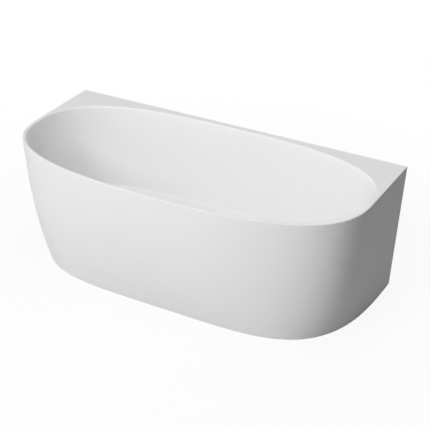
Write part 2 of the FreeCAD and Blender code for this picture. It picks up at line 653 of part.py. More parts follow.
def make_trap():
    """Bottle trap under the waste tail, with its nut, washer and screwed bowl."""
    x, y = WASTE_X, WASTE_Y
    add("inlet_washer", ring(TAIL_RADIUS, DIP_RADIUS - DIP_WALL, INLET_COLLAR_TOP, TAIL_END, x, y))
    loose = TAIL_RADIUS + THREAD_GAP
    nut_end = INLET_COLLAR_END - INLET_NUT_LIP
    nut_top = TAIL_END + INLET_NUT_GRIP
    nut = cylinder(loose + INLET_NUT_WALL, nut_end, nut_top, x, y)
    nut = nut.cut(cylinder(loose, INLET_COLLAR_END, nut_top, x, y))
    nut = nut.cut(cylinder(DIP_RADIUS + THREAD_GAP, nut_end, INLET_COLLAR_END, x, y))
    add("inlet_nut", nut)

    head = ring(HEAD_RADIUS, HEAD_RADIUS - TRAP_WALL, HEAD_END, HEAD_TOP, x, y)
    head = head.fuse(cylinder(HEAD_RADIUS, HEAD_TOP - HEAD_TOP_THICKNESS, HEAD_TOP, x, y))
    head = head.fuse(lying_cylinder(SOCKET_RADIUS, y, SOCKET_END, x, OUTLET_Z))
    head = head.cut(cylinder(HEAD_RADIUS - TRAP_WALL, HEAD_END, HEAD_TOP - HEAD_TOP_THICKNESS, x, y))
    head = head.cut(lying_cylinder(SPIGOT_RADIUS + THREAD_GAP, PIPE_START, SOCKET_END, x, OUTLET_Z))
    head = head.cut(lying_cylinder(PIPE_RADIUS - PIPE_WALL, y, PIPE_START, x, OUTLET_Z))
    dip_end = TRAP_CLEARANCE + DIP_END_HEIGHT
    head = head.fuse(cylinder(DIP_RADIUS, dip_end, INLET_COLLAR_TOP, x, y))
    head = head.fuse(cylinder(TAIL_RADIUS, INLET_COLLAR_END, INLET_COLLAR_TOP, x, y))
    add("trap_head", head.cut(cylinder(DIP_RADIUS - DIP_WALL, dip_end, INLET_COLLAR_TOP, x, y)))

    bowl = cylinder(BOWL_RADIUS, TRAP_CLEARANCE, BOWL_TOP, x, y)
    bowl = bowl.cut(cylinder(HEAD_RADIUS + THREAD_GAP, BOWL_SEAT, BOWL_TOP, x, y))
    bowl = bowl.cut(cylinder(HEAD_RADIUS - TRAP_WALL, TRAP_CLEARANCE + BOWL_FLOOR, BOWL_SEAT, x, y))
    add("trap_bowl", bowl)
    add("trap_bowl_seal", ring(HEAD_RADIUS, HEAD_RADIUS - TRAP_WALL, BOWL_SEAT, HEAD_END, x, y))


def make_outlet():
    """Outlet pipe towards the wall, held in the trap's socket by a seal and a nut."""
    x, z = WASTE_X, OUTLET_Z
    pipe = lying_cylinder(SPIGOT_RADIUS, PIPE_START, OUTLET_NUT_END, x, z)
    pipe = pipe.fuse(lying_cylinder(PIPE_RADIUS, OUTLET_NUT_END, PIPE_END, x, z))
    add("outlet_pipe", pipe.cut(lying_cylinder(PIPE_RADIUS - PIPE_WALL, PIPE_START, PIPE_END, x, z)))
    seal_end = SOCKET_END + OUTLET_SEAL_THICKNESS
    add("outlet_seal", lying_ring(SOCKET_RADIUS, SPIGOT_RADIUS + SEAL_GAP, SOCKET_END, seal_end, x, z))
    loose = SOCKET_RADIUS + THREAD_GAP
    nut = lying_cylinder(loose + OUTLET_NUT_WALL, SOCKET_END - OUTLET_NUT_GRIP, OUTLET_NUT_END, x, z)
    nut = nut.cut(lying_cylinder(loose, SOCKET_END - OUTLET_NUT_GRIP, seal_end, x, z))
    add("outlet_nut", nut.cut(lying_cylinder(SPIGOT_RADIUS + THREAD_GAP, seal_end, OUTLET_NUT_END, x, z)))


skirt_inside = make_shells()
make_stiffeners()
make_frame()
make_brackets(skirt_inside)
make_fasteners()
make_feet()
make_waste()
make_plug()
make_trap()
make_outlet()

os.makedirs("parts", exist_ok=True)
for name, shape in PARTS.items():
    print(name, shape.isValid(), len(shape.Solids), round(shape.Volume / 1000, 2), "cm3")
    shape.exportStep("parts/" + name + ".step")
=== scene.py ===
import json
import math

import bmesh
import bpy
from mathutils import Matrix, Vector


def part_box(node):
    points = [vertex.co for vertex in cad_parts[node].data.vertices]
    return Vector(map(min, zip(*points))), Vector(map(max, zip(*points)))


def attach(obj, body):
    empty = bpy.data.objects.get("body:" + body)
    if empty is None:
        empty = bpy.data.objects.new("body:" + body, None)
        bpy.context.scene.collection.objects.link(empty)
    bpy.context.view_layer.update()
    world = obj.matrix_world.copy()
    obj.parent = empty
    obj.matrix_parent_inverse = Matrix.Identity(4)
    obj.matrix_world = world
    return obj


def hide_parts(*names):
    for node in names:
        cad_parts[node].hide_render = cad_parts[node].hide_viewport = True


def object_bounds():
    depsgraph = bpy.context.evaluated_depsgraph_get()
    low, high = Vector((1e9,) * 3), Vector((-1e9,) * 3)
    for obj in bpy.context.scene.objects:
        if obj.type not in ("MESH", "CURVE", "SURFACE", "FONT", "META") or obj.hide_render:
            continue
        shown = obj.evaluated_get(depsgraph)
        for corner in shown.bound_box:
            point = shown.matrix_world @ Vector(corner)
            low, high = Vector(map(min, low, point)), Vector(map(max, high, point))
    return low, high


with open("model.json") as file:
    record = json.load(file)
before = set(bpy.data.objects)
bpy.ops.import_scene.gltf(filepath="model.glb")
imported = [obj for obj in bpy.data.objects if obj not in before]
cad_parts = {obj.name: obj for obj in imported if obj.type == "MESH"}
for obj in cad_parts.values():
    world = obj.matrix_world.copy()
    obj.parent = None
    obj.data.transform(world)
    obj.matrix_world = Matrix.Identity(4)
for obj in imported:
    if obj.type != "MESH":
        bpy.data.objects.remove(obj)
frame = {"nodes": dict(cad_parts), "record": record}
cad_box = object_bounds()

# Bath sizes, in metres; the overall box comes from the frame
LENGTH = cad_box[1].x - cad_box[0].x
WALL_Y = cad_box[1].y
RIM_FRONT = -cad_box[0].y
HEIGHT = cad_box[1].z
DECK_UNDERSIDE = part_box("outer_skirt")[1].z
RIM_WIDTH = 0.005
BACK_RIM_WIDTH = 0.0225
LIP_RADIUS = 0.008
RIM_EDGE_RADIUS = 0.002
BACK_EDGE_RADIUS = 0.0006
SHELL_WALL = 0.006
END_TAPER = 0.030
FRONT_TAPER = 0.084
SKIRT_SWELL = 2.7
RIM_POWERS = (2.77, 2.5)
FOOT_POWERS = (4.55, 3.12)

# Bathing well
FLOOR_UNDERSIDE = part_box("basin")[0].z
FLOOR_HEIGHT = FLOOR_UNDERSIDE + SHELL_WALL
OPENING_BACK_POWERS = (3.0, 2.4)
END_SLOPE = 0.097
FRONT_SLOPE = 0.057
BACK_SLOPE = 0.0435
FLOOR_RADIUS = 0.010
FLOOR_FRONT_POWERS = (2.5, 2.8)
FLOOR_BACK_POWERS = (2.4, 6.0)
DRAIN_HOLE_RADIUS = 0.0245

RIM_HALF = LENGTH / 2
OPENING_HALF = RIM_HALF - RIM_WIDTH - LIP_RADIUS
OPENING_FRONT = RIM_FRONT - RIM_WIDTH - LIP_RADIUS
OPENING_BACK = WALL_Y - BACK_RIM_WIDTH - LIP_RADIUS

# Shells: the mark on their hidden faces, and the white skin's relief as a share of the backing's
BACKING = "backing"
SKIN_SHARE = 0.027

# Chopped glass strands: their three directions, stretch, fineness, contrast and middle
STRAND_TURNS = ((0.0, 0.0, 0.6), (0.0, -0.9, -0.9), (0.0, -0.9, 2.4))
STRAND_STRETCH = (12.0, 1.0, 1.0)
STRAND_SCALE = 260.0
STRAND_CONTRAST = 3.2
STRAND_MIDDLE = 0.57

# Mesh divisions: front quarter, straight end and half of the back edge, then the rest
FRONT_STEPS = 56
END_STEPS = 20
BACK_STEPS = 36
ARC_STEPS = 8
WALL_STEPS = 14
FLOOR_SHARES = (0.06, 0.35, 0.7, 0.985)
DECK_SHARES = (0.08, 0.92)
SKIRT_STEPS = 96
SKIRT_LEVELS = 40
DENSE_STEPS = 800
ROUND_STEPS = 3
TURN_STEPS = 72
DOME_STEPS = 10
ROD_SIDES = 28
THREAD_STEPS = 20
THREAD_SIDES = 3
RIB_SIDES = 12

# Distance of points that merge, angle of a crisp edge, and the most of a side that its rounding takes
MERGE_DISTANCE = 1e-6
CRISP_ANGLE = math.radians(35)
ROUND_REACH = 0.45

# Levelling feet
FOOT_PLACES = ("front_left", "rear_left", "middle", "front_right", "rear_right")
STUD_RADIUS = 0.006
STUD_PITCH = 0.00175
STUD_THREAD_DEPTH = 0.0009
PAD_EDGE_HEIGHT = 0.005
PAD_NECK_RADIUS = 0.012
PAD_SOCKET_RADIUS = 0.0061
PAD_SOCKET_FLOOR = 0.004
PAD_SOFTNESS = 0.0015

# Screws and bolts; a thread's depth and pitch are shares of its rod's radius
SCREW = {"radius": 0.0025, "head": 0.005, "crown": 0.0036, "height": 0.0035, "sides": 32, "drive": 0.005}
BOLT = {"radius": 0.004, "head": 0.0075, "crown": 0.0072, "height": 0.005, "sides": 6, "drive": 0.0}
RAIL_SCREW_PLACES = (0.080, 0.320)
THREAD_DEPTH = 0.16
THREAD_PITCH = 0.6
DRIVE_SLOT_SHARE = 0.25

# Plug cap
PLUG_BOSS_RADIUS = 0.010
PLUG_BOSS_HEIGHT = 0.0058
PLUG_EDGE = 0.003
PLUG_SOFTNESS = 0.0006

# Hand-turned trap pieces
GRIP = 0.001
GRIP_RIB_HEIGHT = 0.018
NUT_RIBS = 36
BOWL_RIBS = 48
NUT_SOFTNESS = 0.0012
BOWL_SOFTNESS = 0.003
INLET_BORE = 0.0208
INLET_SOCKET = 0.0233
INLET_SHOULDER = 0.006
BOWL_SOCKET = 0.045
BOWL_SHOULDER = 0.012
BOWL_BORE = 0.0407
BOWL_FLOOR = 0.005
BOWL_RIB_LIFT = 0.003
OUTLET_SOCKET = 0.0253
OUTLET_BORE = 0.0210
OUTLET_SHOULDER = 0.004

# Camera, from the photograph's perspective; the picture is square
PICTURE_SIDE = 430
FOCAL_PIXELS = 1177.7
PRINCIPAL_X = 195.0
SENSOR = 36.0
CAMERA_TURN = 29.697
CAMERA_RISE = 29.453
CAMERA_PLACE = (2.0431, -3.5715, 2.6161)

# Light: strength of the white room, then round lamps by name, bearing, height angle and power
ROOM_LIGHT = 0.02
LAMP_DISTANCE = 6.0
LAMP_WIDTH = 3.0
LAMPS = (
    ("left_lamp", -70.0, 18.0, 41.0),
    ("low_front_lamp", -15.0, 8.0, 64.0),
    ("front_lamp", -15.0, 38.0, 116.0),
    ("right_front_lamp", 10.0, 34.0, 93.0),
    ("top_lamp", 60.0, 82.0, 81.0),
    ("rear_top_lamp", 180.0, 70.0, 55.0),
    ("rear_low_lamp", 180.0, 3.0, 125.0),
)
SEEN_RAYS = ("Is Camera Ray", "Is Glossy Ray", "Is Transmission Ray")
WHITE = (1.0, 1.0, 1.0, 1.0)

# Floor: its half width, its greys, and the share of plain white from near the bath to far from it
FLOOR_REACH = 30.0
FLOOR_MATT = (0.45, 0.45, 0.45, 1.0)
FLOOR_PALE = (0.9, 0.9, 0.9, 1.0)
NEAR_DISTANCE = 0.7
FAR_DISTANCE = 2.0
NEAR_WHITE = 0.9
FAR_WHITE = 1.0


def evenly(points, steps):
    """The same line in equal steps along its length."""
    lengths = [0.0]
    for (x0, y0), (x1, y1) in zip(points, points[1:]):
        lengths.append(lengths[-1] + math.hypot(x1 - x0, y1 - y0))
    spaced = []
    at = 0
    for i in range(steps + 1):
        target = lengths[-1] * i / steps
        while at < len(points) - 2 and lengths[at + 1] < target:
            at += 1
        share = (target - lengths[at]) / (lengths[at + 1] - lengths[at])
        share = min(max(share, 0.0), 1.0)
        (x0, y0), (x1, y1) = points[at], points[at + 1]
        spaced.append((x0 + (x1 - x0) * share, y0 + (y1 - y0) * share))
    return spaced


def quarter(half, depth, powers):
    """Quarter of a superellipse about the origin, from (half, 0) to (0, depth)."""
    points = []
    for i in range(DENSE_STEPS + 1):
        angle = math.pi / 2 * i / DENSE_STEPS
        x = half * math.cos(angle) ** (2 / powers[0])
        y = depth * math.sin(angle) ** (2 / powers[1])
        points.append((x, y))
    return points


def mirrored_ring(back_right, front_right):
    """Closed ring, anticlockwise from the right, from its right back and right front quarters."""
    ring = back_right + [(-x, y) for x, y in back_right[-2::-1]]
    ring += [(-x, y) for x, y in front_right[1:]]
    ring += front_right[-2:0:-1]
    return ring


def oval(half, front, back, front_powers, back_powers):
    """Closed oval with its own front and back halves."""
    rear = evenly(quarter(half, back, back_powers), END_STEPS + BACK_STEPS)
    fore = [(x, -y) for x, y in evenly(quarter(half, front, front_powers), FRONT_STEPS)]
    return mirrored_ring(rear, fore)


def deck_ring(inset, back_inset):
    """Deck outline: straight ends to square back corners, and the oval's front."""
    half = RIM_HALF - inset
    back = WALL_Y - back_inset
    end = evenly([(half, 0.0), (half, back)], END_STEPS)
    edge = evenly([(half, back), (0.0, back)], BACK_STEPS)
    fore = evenly(quarter(half, RIM_FRONT - inset, RIM_POWERS), FRONT_STEPS)
    return mirrored_ring(end + edge[1:], [(x, -y) for x, y in fore])


def outward(ring):
    """Unit normals of a closed ring, in the plane."""
    normals = []
    for before, after in zip(ring[-1:] + ring[:-1], ring[1:] + ring[:1]):
        dx, dy = after[0] - before[0], after[1] - before[1]
        size = math.hypot(dx, dy)
        normals.append((dy / size, -dx / size))
    return normals


def at_height(ring, z):
    """Ring of plan points as space points."""
    return [Vector((x, y, z)) for x, y in ring]


def mix_rings(first, second, share):
    """Points part of the way from one ring to another."""
    return [a.lerp(b, share) for a, b in zip(first, second)]


def well_side(grow, floor_z, floor_radius, lip_radius):
    """Rings of the well's wall from its floor up: floor rounding, slope and, where it has one, the lip."""
    top = oval(
        OPENING_HALF + grow, OPENING_FRONT + grow, OPENING_BACK + grow,
        RIM_POWERS, OPENING_BACK_POWERS,
    )
    floor = oval(
        OPENING_HALF - END_SLOPE + grow, OPENING_FRONT - FRONT_SLOPE + grow,
        OPENING_BACK - BACK_SLOPE + grow, FLOOR_FRONT_POWERS, FLOOR_BACK_POWERS,
    )
    rise = HEIGHT - FLOOR_HEIGHT
    rows = []
    for (xt, yt), (nx, ny), (xf, yf), (mx, my) in zip(top, outward(top), floor, outward(floor)):
        edge = Vector((xt, yt, HEIGHT))
        foot = Vector((xf, yf, FLOOR_HEIGHT))
        foot = edge.lerp(foot, (HEIGHT - floor_z) / rise)
        lean = math.atan2((xt - xf) * nx + (yt - yf) * ny, rise)
        turn = math.pi / 2 - lean
        low_way, high_way = Vector((mx, my, 0)), Vector((nx, ny, 0))
        row = rounding(foot, low_way, -1, floor_radius, turn)
        if lip_radius:
            row += rounding(edge, high_way, 1, lip_radius, turn)
        else:
            row.append(edge.lerp(foot, (HEIGHT - DECK_UNDERSIDE) / (HEIGHT - floor_z)))
        rows.append(row)
    rings = [list(ring) for ring in zip(*rows)]
    low, high = rings[ARC_STEPS], rings[ARC_STEPS + 1]
    slope = [mix_rings(low, high, i / WALL_STEPS) for i in range(1, WALL_STEPS)]
    return rings[:ARC_STEPS + 1] + slope + rings[ARC_STEPS + 1:]


def rounding(corner, way, side, radius, turn):
    """Arc that rounds a floor corner (side -1) or a rim corner (side 1), from its lower end up."""
    reach = radius / math.tan((math.pi - turn) / 2)
    centre = corner + way * (reach * side) - Vector((0, 0, radius * side))
    arc = []
    for i in range(ARC_STEPS + 1):
        angle = turn * i / ARC_STEPS
        out, up = radius * side * math.sin(angle), radius * side * math.cos(angle)
        arc.append(centre - way * out + Vector((0, 0, up)))
    return arc[::-side]


def band_faces(rows, count, across):
    """Faces between rows of count points, across of them per band; the last row meets the first."""
    faces = []
    for i in range(rows):
        j = (i + 1) % rows
        for k in range(across):
            m = (k + 1) % count
            faces.append((i * count + k, i * count + m, j * count + m, j * count + k))
    return faces


def closed_shell(name, rings, backed=range(0)):
    """Mesh object from closed rings that also close on themselves; backed gives its hidden bands."""
    count = len(rings[0])
    points = [p for ring in rings for p in ring]
    faces = band_faces(len(rings), count, count)
    return finished(name, points, faces, range(backed.start * count, backed.stop * count))


def finished(name, points, faces, backed):
    """Object with outward faces, smooth but for its crisp edges; backed faces are marked as hidden."""
    mesh = bpy.data.meshes.new(name)
    mesh.from_pydata(points, [], faces)
    shape = bmesh.new()
    shape.from_mesh(mesh)
    if backed:
        mark = shape.faces.layers.float.new(BACKING)
        for face in shape.faces:
            face[mark] = float(face.index in backed)
    bmesh.ops.remove_doubles(shape, verts=shape.verts, dist=MERGE_DISTANCE)
    bmesh.ops.recalc_face_normals(shape, faces=shape.faces)
    for face in shape.faces:
        face.smooth = True
    for edge in shape.edges:
        edge.smooth = len(edge.link_faces) == 2 and edge.calc_face_angle() < CRISP_ANGLE
    shape.to_mesh(mesh)
    shape.free()
    piece = bpy.data.objects.new(name, mesh)
    bpy.context.scene.collection.objects.link(piece)
    return piece


def circle_ring(radius, ring):
    """Circle about the drain whose points lie in the same directions as a ring's."""
    circle = []
    for point in ring:
        flat = Vector((point.x, point.y, 0))
        circle.append(flat.normalized() * radius + Vector((0, 0, point.z)))
    return circle


def bathing_shell():
    """Basin with its floor, sloping walls, soft lip, thin rim and flat deck corners."""
    inside = well_side(0.0, FLOOR_HEIGHT, FLOOR_RADIUS, LIP_RADIUS)
    drain = circle_ring(DRAIN_HOLE_RADIUS, inside[0])
    floor = [drain] + [mix_rings(drain, inside[0], share) for share in FLOOR_SHARES]
    lip_edge = inside[-1]
    rim = at_height(deck_ring(RIM_EDGE_RADIUS, BACK_EDGE_RADIUS), HEIGHT)
    deck = [mix_rings(lip_edge, rim, share) for share in DECK_SHARES]
    edge = []
    for i in range(ARC_STEPS + 1):
        angle = math.pi / 2 * i / ARC_STEPS
        drop = 1 - math.cos(angle)
        keep = 1 - math.sin(angle)
        ring = deck_ring(RIM_EDGE_RADIUS * keep, BACK_EDGE_RADIUS * keep)
        front = at_height(ring, HEIGHT - RIM_EDGE_RADIUS * drop)
        for point in front:
            if point.y > WALL_Y - 2 * BACK_EDGE_RADIUS:
                point.z = HEIGHT - BACK_EDGE_RADIUS * drop
        edge.append(front)
    lean = END_TAPER * (HEIGHT - DECK_UNDERSIDE) / HEIGHT
    side = [at_height(deck_ring(lean, 0.0), DECK_UNDERSIDE)]
    outside = well_side(SHELL_WALL, FLOOR_UNDERSIDE, FLOOR_RADIUS + SHELL_WALL, 0.0)
    hole = [circle_ring(DRAIN_HOLE_RADIUS, outside[0])]
    shown = floor + inside + deck + edge
    hidden = side + outside[::-1] + hole
    backed = range(len(shown), len(shown) + len(hidden) - 1)
    return closed_shell("bathing_shell", shown + hidden, backed)


def skirt_outline(drop, inset):
    """Right half of the skirt's outline, from wall to front; drop is 0 at the rim and 1 at the floor."""
    def rim_line(taper):
        half = RIM_HALF - taper - inset
        curve = [(x, -y) for x, y in quarter(half, RIM_FRONT - taper - inset, RIM_POWERS)]
        return evenly([(half, WALL_Y)] + curve, SKIRT_STEPS)

    depth = WALL_Y + RIM_FRONT - FRONT_TAPER - inset
    foot_curve = quarter(RIM_HALF - END_TAPER - inset, depth, FOOT_POWERS)
    foot = evenly([(x, WALL_Y - y) for x, y in foot_curve], SKIRT_STEPS)
    swell = drop ** SKIRT_SWELL
    outline = []
    for (xt, yt), (xs, ys), (xf, yf) in zip(rim_line(0.0), rim_line(END_TAPER), foot):
        x = xt + (xs - xt) * drop + (xf - xs) * swell
        y = yt + (ys - yt) * drop + (yf - ys) * swell
        outline.append((x, y))
    return outline


def skirt_shell():
    """Skirt from the deck down to the floor, open at the back and underneath."""
    outside, inside = [], []
    for i in range(SKIRT_LEVELS + 1):
        z = DECK_UNDERSIDE * (1 - i / SKIRT_LEVELS)
        for side, inset in ((outside, 0.0), (inside, SHELL_WALL)):
            half = skirt_outline(1 - z / HEIGHT, inset)
            side.append(at_height(half + [(-x, y) for x, y in half[-2::-1]], z))
    rows = outside + inside[::-1]
    count = len(rows[0])
    across = count - 1
    points = [p for row in rows for p in row]
    faces = band_faces(len(rows), count, across)
    last = len(rows) - 1
    for i in range(SKIRT_LEVELS):
        for k in (0, across):
            a, b = i * count + k, (i + 1) * count + k
            c, d = (last - i - 1) * count + k, (last - i) * count + k
            faces.append((a, b, c, d))
    return finished("skirt_shell", points, faces, range(len(outside) * across, last * across))


class Value:
    """A node socket that takes part in Python arithmetic."""

    def __init__(self, tree, socket):
        self.tree = tree
        self.socket = socket

    def math(self, operation, first, second):
        return self.tree.add("ShaderNodeMath", {"operation": operation}, {0: first, 1: second})

    def __add__(self, other):
        return self.math("ADD", self, other)

    def __sub__(self, other):
        return self.math("SUBTRACT", self, other)

    def __rsub__(self, other):
        return self.math("SUBTRACT", other, self)

    def __mul__(self, other):
        return self.math("MULTIPLY", self, other)

    def __or__(self, other):
        return self.math("MAXIMUM", self, other)

    __radd__ = __add__


class Tree:
    """A node tree with one way to add nodes."""

    def __init__(self, nodes, links):
        self.nodes = nodes
        self.links = links

    def add(self, kind, settings=None, inputs=None, output=0):
        """Adds a node: settings first, then values or links of its sockets; gives one of its outputs."""
        node = self.nodes.new(kind)
        for key, value in (settings or {}).items():
            setattr(node, key, value)
        for key, value in (inputs or {}).items():
            for part in value if isinstance(value, list) else [value]:
                if isinstance(part, Value):
                    self.links.new(part.socket, node.inputs[key])
                else:
                    node.inputs[key].default_value = part
        return Value(self, node.outputs[output]) if node.outputs else node


class Finish(Tree):
    """A material whose surface is one Principled shader."""

    def __init__(self, name):
        self.material = bpy.data.materials.new(name)
        self.material.use_nodes = True
        tree = self.material.node_tree
        tree.nodes.clear()
        super().__init__(tree.nodes, tree.links)
        self.place = self.add("ShaderNodeTexCoord", output="Object")

    def noise(self, scale, detail=2.0, roughness=0.5, place=None):
        """Soft noise over the piece, about 0.5."""
        sizes = {"Vector": place or self.place, "Scale": scale, "Detail": detail, "Roughness": roughness}
        return self.add("ShaderNodeTexNoise", inputs=sizes)

    def strands(self):
        """Chopped glass strands that lie across each other, about 0.5."""
        lies = []
        for turn in STRAND_TURNS:
            sizes = {"Vector": self.place, "Rotation": turn, "Scale": STRAND_STRETCH}
            along = self.add("ShaderNodeMapping", {"vector_type": "TEXTURE"}, sizes)
            lies.append(self.noise(scale=STRAND_SCALE, detail=1.0, place=along))
        return (lies[0] | lies[1] | lies[2]) * STRAND_CONTRAST + (0.5 - STRAND_MIDDLE * STRAND_CONTRAST)

    def shade(self, factor, dark, light):
        """Colour between two shades, each a colour or a shade itself."""
        ends = [end if isinstance(end, Value) else (*end, 1.0) for end in (dark, light)]
        return self.add("ShaderNodeMix", {"data_type": "RGBA"}, {0: factor, 6: ends[0], 7: ends[1]}, output=2)

    def relief(self, height, strength, distance):
        """Normal raised by a height."""
        sizes = {"Strength": strength, "Distance": distance, "Height": height}
        return self.add("ShaderNodeBump", inputs=sizes)

    def surface(self, **inputs):
        """Closes the material with its shader; spaces in names are underscores."""
        named = {key.replace("_", " "): value for key, value in inputs.items()}
        shader = self.add("ShaderNodeBsdfPrincipled", inputs=named)
        self.add("ShaderNodeOutputMaterial", inputs={"Surface": shader})
        return self.material


def satin_white():
    """Satin white shell, almost even, with a very fine skin; glass strands in resin back its hidden side."""
    finish = Finish("satin_white_shell")
    cloud = finish.noise(scale=3.0, detail=3.0)
    skin = finish.noise(scale=420.0, detail=1.0)
    white = finish.shade(cloud, (0.885, 0.885, 0.882), (0.905, 0.905, 0.903))
    hidden = finish.add("ShaderNodeAttribute", {"attribute_name": BACKING}, output="Fac")
    strand = finish.strands()
    layer = finish.noise(scale=14.0, detail=3.0)
    backing = finish.shade(strand * 0.6 + layer * 0.4, (0.64, 0.63, 0.55), (0.94, 0.93, 0.88))
    height = skin * SKIN_SHARE * (1 - hidden) + strand * hidden
    return finish.surface(
        Base_Color=finish.shade(hidden, white, backing),
        Roughness=0.42 + cloud * 0.06 + hidden * 0.2,
        Specular_IOR_Level=0.1,
        Normal=finish.relief(height, strength=0.5, distance=0.0012),
    )


def chipboard():
    """Pressed wood flakes under a thin seal coat."""
    finish = Finish("chipboard")
    flake = finish.add("ShaderNodeTexVoronoi", inputs={"Vector": finish.place, "Scale": 260.0}, output=1)
    tone = finish.add("ShaderNodeSeparateColor", inputs={"Color": flake})
    grain = finish.noise(scale=90.0, detail=5.0, roughness=0.7)
    mix = tone * 0.55 + grain * 0.45
    return finish.surface(
        Base_Color=finish.shade(mix, (0.36, 0.23, 0.12), (0.74, 0.57, 0.36)),
        Roughness=0.75 + grain * 0.2,
        Normal=finish.relief(mix, strength=0.35, distance=0.001),
    )


def glass_resin():
    """Resin with chopped glass strands that show as pale streaks."""
    finish = Finish("glass_resin")
    strand = finish.strands()
    cloud = finish.noise(scale=22.0, detail=3.0)
    return finish.surface(
        Base_Color=finish.shade(strand * 0.6 + cloud * 0.4, (0.58, 0.57, 0.50), (0.86, 0.85, 0.80)),
        Roughness=0.45 + strand * 0.35,
        Normal=finish.relief(strand, strength=0.5, distance=0.0012),
    )


def powder_coat():
    """Dark grey powder coat with its orange-peel skin."""
    finish = Finish("grey_powder_coat")
    peel = finish.noise(scale=900.0, detail=2.0)
    cloud = finish.noise(scale=9.0, detail=3.0)
    return finish.surface(
        Base_Color=finish.shade(cloud, (0.030, 0.032, 0.035), (0.052, 0.055, 0.058)),
        Roughness=0.42 + peel * 0.2,
        Normal=finish.relief(peel, strength=0.25, distance=0.0004),
    )


def zinc_plate():
    """Zinc plating, a little blue, with dull patches."""
    finish = Finish("zinc_plate")
    patch = finish.noise(scale=120.0, detail=4.0, roughness=0.6)
    return finish.surface(
        Base_Color=finish.shade(patch, (0.46, 0.48, 0.51), (0.70, 0.70, 0.68)),
        Metallic=1.0,
        Roughness=0.22 + patch * 0.3,
    )


def moulded(name, dark, light, rough):
    """Moulded plastic with a slightly uneven gloss."""
    finish = Finish(name)
    cloud = finish.noise(scale=35.0, detail=3.0)
    spark = finish.noise(scale=1400.0, detail=1.0)
    return finish.surface(
        Base_Color=finish.shade(cloud, dark, light),
        Roughness=rough + cloud * 0.12,
        Normal=finish.relief(spark, strength=0.12, distance=0.0003),
    )


def bright_chrome():
    """Polished chrome with faint wiped marks."""
    finish = Finish("bright_chrome")
    wipe = finish.noise(scale=60.0, detail=5.0, roughness=0.65)
    return finish.surface(
        Base_Color=finish.shade(wipe, (0.70, 0.71, 0.73), (0.82, 0.83, 0.84)),
        Metallic=1.0,
        Roughness=0.05 + wipe * 0.09,
    )


def black_rubber():
    """Matt rubber with a dusty bloom."""
    finish = Finish("black_rubber")
    bloom = finish.noise(scale=300.0, detail=4.0, roughness=0.7)
    return finish.surface(
        Base_Color=finish.shade(bloom, (0.012, 0.012, 0.012), (0.045, 0.045, 0.044)),
        Roughness=0.7 + bloom * 0.25,
        Normal=finish.relief(bloom, strength=0.3, distance=0.0005),
    )


def turned_brass():
    """Brass with lathe rings and darker stains."""
    finish = Finish("turned_brass")
    rings = finish.add(
        "ShaderNodeTexWave", {"wave_type": "BANDS", "bands_direction": "Z"},
        {"Vector": finish.place, "Scale": 420.0, "Distortion": 0.6}, output=1,
    )
    stain = finish.noise(scale=70.0, detail=4.0)
    return finish.surface(
        Base_Color=finish.shade(stain, (0.42, 0.27, 0.09), (0.78, 0.57, 0.24)),
        Metallic=1.0,
        Roughness=0.24 + stain * 0.2,
        Normal=finish.relief(rings, strength=0.1, distance=0.0003),
    )


def seen_directly(tree):
    """1 on rays from the camera and those that metal or glass sends on, 0 on rays of light."""
    camera, glossy, through = [tree.add("ShaderNodeLightPath", output=name) for name in SEEN_RAYS]
    return camera | glossy | through


def towards(bearing, rise):
    """Unit vector from the bath, by its bearing from the front and its angle above the floor."""
    turn, lift = math.radians(bearing), math.radians(rise)
    return Vector((math.sin(turn) * math.cos(lift), -math.cos(turn) * math.cos(lift), math.sin(lift)))


def add_floor():
    """White floor, seen from above only, that keeps the bath's shadow and fades to plain white."""
    mesh = bpy.data.meshes.new("floor")
    corners = [(x * FLOOR_REACH, y * FLOOR_REACH, 0) for x, y in ((-1, -1), (1, -1), (1, 1), (-1, 1))]
    mesh.from_pydata(corners, [], [(0, 1, 2, 3)])
    floor = bpy.data.objects.new("floor", mesh)
    bpy.context.scene.collection.objects.link(floor)

    paint = Finish("floor_paint")
    away = paint.add("ShaderNodeVectorMath", {"operation": "LENGTH"}, {0: paint.place}, output="Value")
    white = paint.add("ShaderNodeMapRange", {"interpolation_type": "SMOOTHSTEP"}, {
        "Value": away, "From Min": NEAR_DISTANCE, "From Max": FAR_DISTANCE,
        "To Min": NEAR_WHITE, "To Max": FAR_WHITE,
    })
    matt = paint.add("ShaderNodeBsdfDiffuse", inputs={"Color": FLOOR_MATT})
    pale = paint.add("ShaderNodeBsdfDiffuse", inputs={"Color": FLOOR_PALE})
    glow = paint.add("ShaderNodeEmission", inputs={"Color": WHITE, "Strength": 1.0})
    shown = paint.add("ShaderNodeMixShader", inputs={0: white, 1: pale, 2: glow})
    lit = paint.add("ShaderNodeMixShader", inputs={0: seen_directly(paint), 1: matt, 2: shown})
    below = paint.add("ShaderNodeNewGeometry", output="Backfacing")
    clear = paint.add("ShaderNodeBsdfTransparent")
    both = paint.add("ShaderNodeMixShader", inputs={0: below, 1: lit, 2: clear})
    paint.add("ShaderNodeOutputMaterial", inputs={"Surface": both})
    mesh.materials.append(paint.material)


